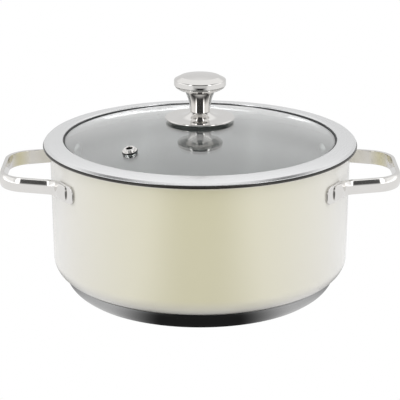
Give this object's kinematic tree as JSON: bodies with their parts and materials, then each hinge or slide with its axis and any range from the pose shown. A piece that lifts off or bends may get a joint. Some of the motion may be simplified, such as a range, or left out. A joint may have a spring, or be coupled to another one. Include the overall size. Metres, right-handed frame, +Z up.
{
  "type": "two-handled casserole pot with glass lid",
  "caption": "Round steel casserole pot, cream enamel outside, with loop handles riveted to the wall, a capsule base, and a lift-off domed glass lid with a wide steel ring, knob and steam vent.",
  "frame": {"origin": "centre of the base where it meets the table", "axes": "+Z up along the pot's axis, X through the two handles, the vent in the lid towards -X -Y"},
  "size_m": [0.324, 0.2532, 0.1768],
  "materials": {
    "cream_enamel": "glossy cream enamel outside, brushed steel inside",
    "base_steel": "polished",
    "aluminium_core": "plain",
    "polished_steel": "mirror polished steel",
    "rivet_steel": "satin",
    "satin_steel": "satin, turned round the axis",
    "silicone": "matt",
    "lid_glass": "clear tempered",
    "insert_brass": "turned"
  },
  "bodies": {
    "pot": {"pot_shell": "cream_enamel", "base_cap": "base_steel", "base_core": "aluminium_core", "left_handle": "polished_steel", "right_handle": "polished_steel", "rivet_left_back": "rivet_steel", "rivet_left_front": "rivet_steel", "rivet_right_back": "rivet_steel", "rivet_right_front": "rivet_steel"},
    "lid_ring": {"lid_rim": "satin_steel", "lid_gasket": "silicone"},
    "lid": {"lid_glass": "lid_glass", "vent_bush": "silicone", "vent_eyelet": "polished_steel", "knob_flange": "polished_steel", "knob_stem": "polished_steel", "knob_cap": "polished_steel", "knob_insert": "insert_brass", "knob_screw": "rivet_steel", "upper_washer": "silicone", "lower_washer": "silicone", "screw_washer": "rivet_steel"}
  },
  "joints": [
    {"name": "lid_lift", "type": "slide", "parent": "pot", "child": "lid_ring", "axis": [0, 0, 1], "range_m": [0, 0.15]},
    {"name": "lid_turn", "type": "hinge", "parent": "lid_ring", "child": "lid", "pos_m": [0, 0, 0.13], "axis": [0, 0, 1], "continuous": true}
  ]
}
